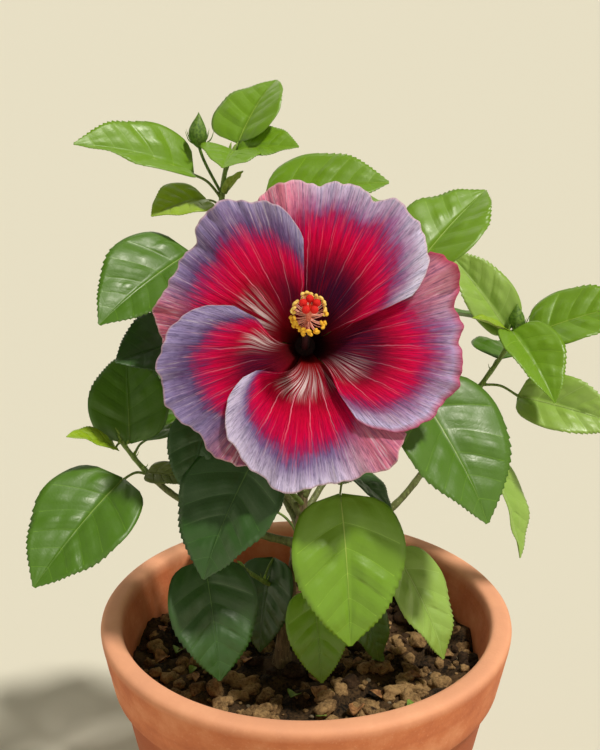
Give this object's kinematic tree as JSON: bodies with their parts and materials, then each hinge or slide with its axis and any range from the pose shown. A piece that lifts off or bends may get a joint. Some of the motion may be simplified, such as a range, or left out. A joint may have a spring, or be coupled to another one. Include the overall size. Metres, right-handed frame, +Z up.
{
  "type": "potted hibiscus shrub",
  "caption": "Young hibiscus shrub with a large open bloom of overlapping ruffled petals, toothed glossy leaves and small buds, planted in soil in a round terracotta pot with a banded rim.",
  "frame": {"origin": "centre of the pot's flat underside, on the ground", "axes": "+Z up along the pot's axis, -Y to the front where the bloom looks, +X to the right"},
  "size_m": [0.3867, 0.3274, 0.5921],
  "materials": {
    "terracotta": "matte",
    "soil": "matte",
    "bark": "matte",
    "green_bark": "satin",
    "foliage": "satin",
    "petal": "satin",
    "green_cup": "satin",
    "stamens": "matte"
  },
  "bodies": {
    "root": {"pot": "terracotta", "soil": "soil", "trunk": "bark", "right_bough": "green_bark", "left_bough": "green_bark", "upper_left_bough": "green_bark", "upper_right_bough": "green_bark", "crown_bough": "green_bark", "back_top_bough": "green_bark", "back_left_bough": "green_bark", "back_right_bough": "green_bark", "flower_branch": "green_bark", "petal_1": "petal", "petal_2": "petal", "petal_3": "petal", "petal_4": "petal", "petal_5": "petal", "flower_cup": "green_cup", "stamen_column": "stamens", "crown_shoot": "foliage", "upper_left_shoot": "foliage", "left_shoot": "foliage", "left_front_shoot": "foliage", "lower_left_shoot": "foliage", "front_shoot": "foliage", "lower_right_shoot": "foliage", "upper_right_shoot": "foliage", "right_shoot": "foliage", "back_top_shoot": "foliage", "back_low_shoot": "foliage", "back_left_shoot": "foliage", "back_right_shoot": "foliage"}
  },
  "joints": []
}
